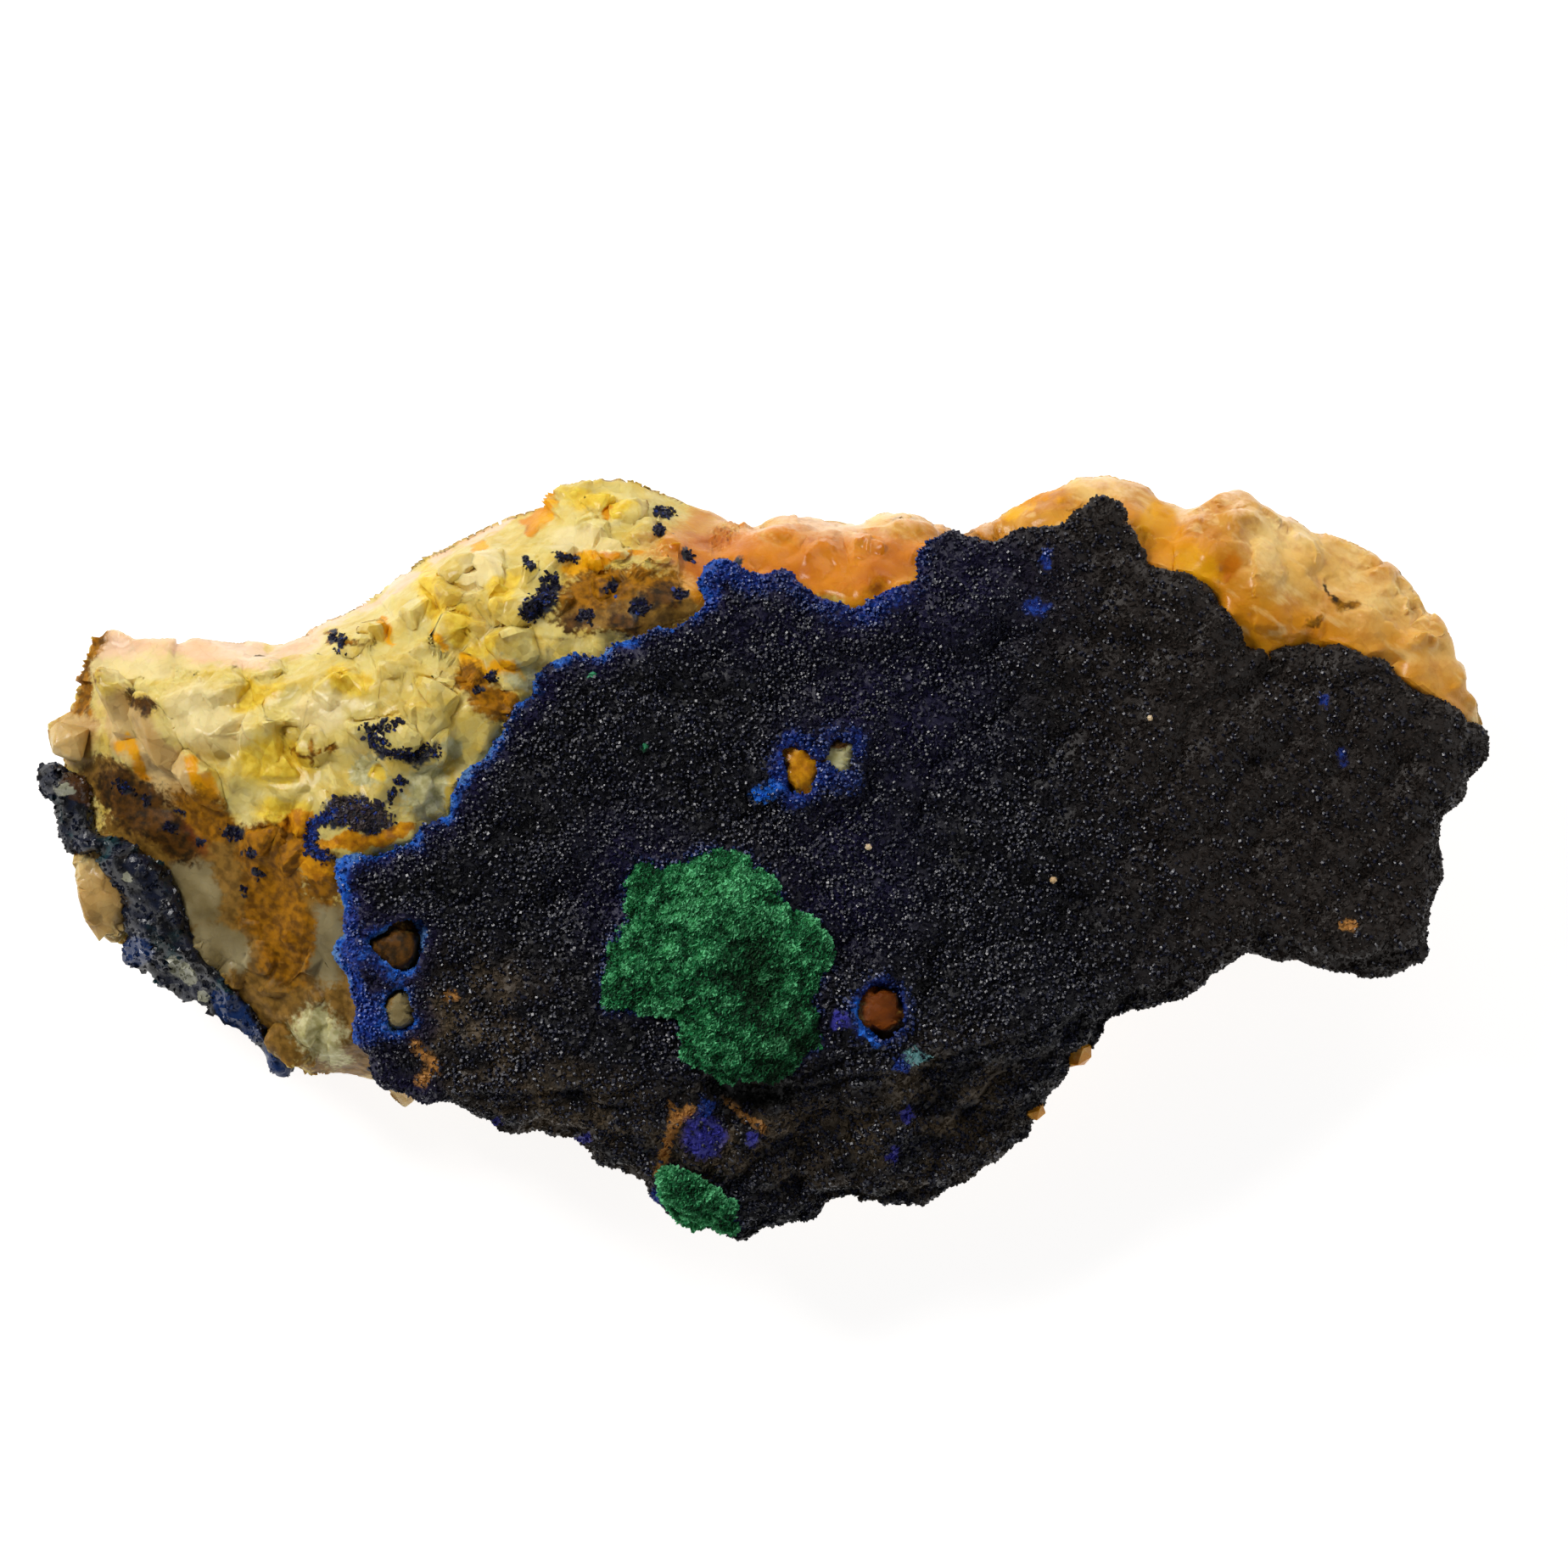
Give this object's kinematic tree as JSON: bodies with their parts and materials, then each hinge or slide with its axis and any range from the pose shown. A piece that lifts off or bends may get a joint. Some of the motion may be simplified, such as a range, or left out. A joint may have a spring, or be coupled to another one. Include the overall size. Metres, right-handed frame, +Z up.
{
  "type": "azurite and malachite specimen",
  "caption": "Quartz rock slab with a crust of fine azurite crystals and two malachite patches. It lies on its flat back.",
  "frame": {"origin": "under the middle of the bounding box, on the surface that the specimen lies on", "axes": "+X along the specimen from its quartz end to its azurite end, +Y across it from the malachite edge to the quartz edge, +Z up out of the azurite face"},
  "size_m": [0.0999, 0.0526, 0.0228],
  "materials": {
    "quartz": "glassy granular quartz with iron stains",
    "azurite": "crust of fine glittering crystals",
    "malachite": "matt and velvety",
    "seam_azurite": "dull crystalline"
  },
  "bodies": {
    "root": {"quartz_rock": "quartz", "azurite_crust": "azurite", "malachite_patch": "malachite", "lower_malachite_patch": "malachite", "azurite_seam": "seam_azurite"}
  },
  "joints": []
}
